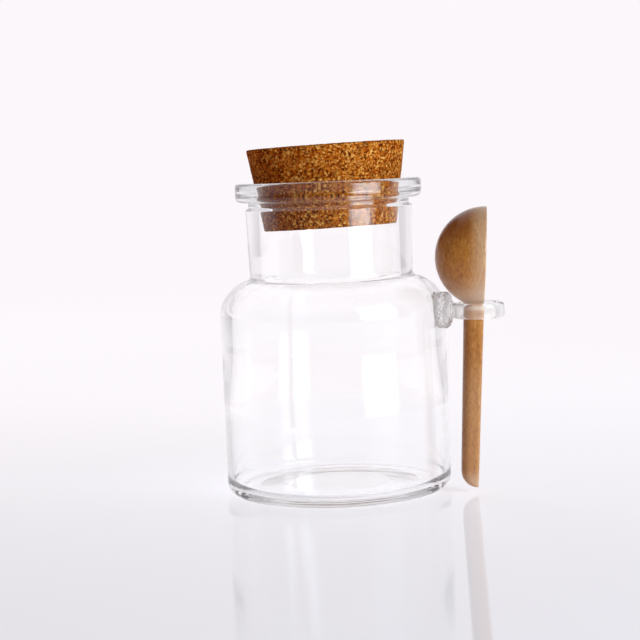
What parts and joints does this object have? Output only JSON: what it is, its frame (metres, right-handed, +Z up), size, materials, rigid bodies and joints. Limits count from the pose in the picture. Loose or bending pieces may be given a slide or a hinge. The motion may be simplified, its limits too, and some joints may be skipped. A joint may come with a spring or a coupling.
{
  "type": "glass jar with cork stopper and spoon",
  "caption": "Clear glass storage jar with a wide neck, a tapered cork stopper and a wooden spoon hanging in a glass loop fused to its side.",
  "frame": {"origin": "middle of the base, on the jar's axis, level with the ring that it stands on", "axes": "+Z up along the jar's axis, +X out through the glass loop"},
  "size_m": [0.0899, 0.07, 0.1081],
  "materials": {
    "clear_glass": "polished clear",
    "cork": "pressed cork granules, matt",
    "spoon_wood": "sanded, oiled"
  },
  "bodies": {
    "jar": {"jar_body": "clear_glass", "spoon_loop": "clear_glass"},
    "cork": {"cork_stopper": "cork"},
    "spoon": {"wooden_spoon": "spoon_wood"}
  },
  "joints": [
    {"name": "cork_lift", "type": "slide", "parent": "jar", "child": "cork", "axis": [0, 0, 1], "range_m": [0, 0.03]},
    {"name": "spoon_lift", "type": "slide", "parent": "jar", "child": "spoon", "axis": [0.0628, 0, 0.998], "range_m": [0, 0.064]}
  ]
}
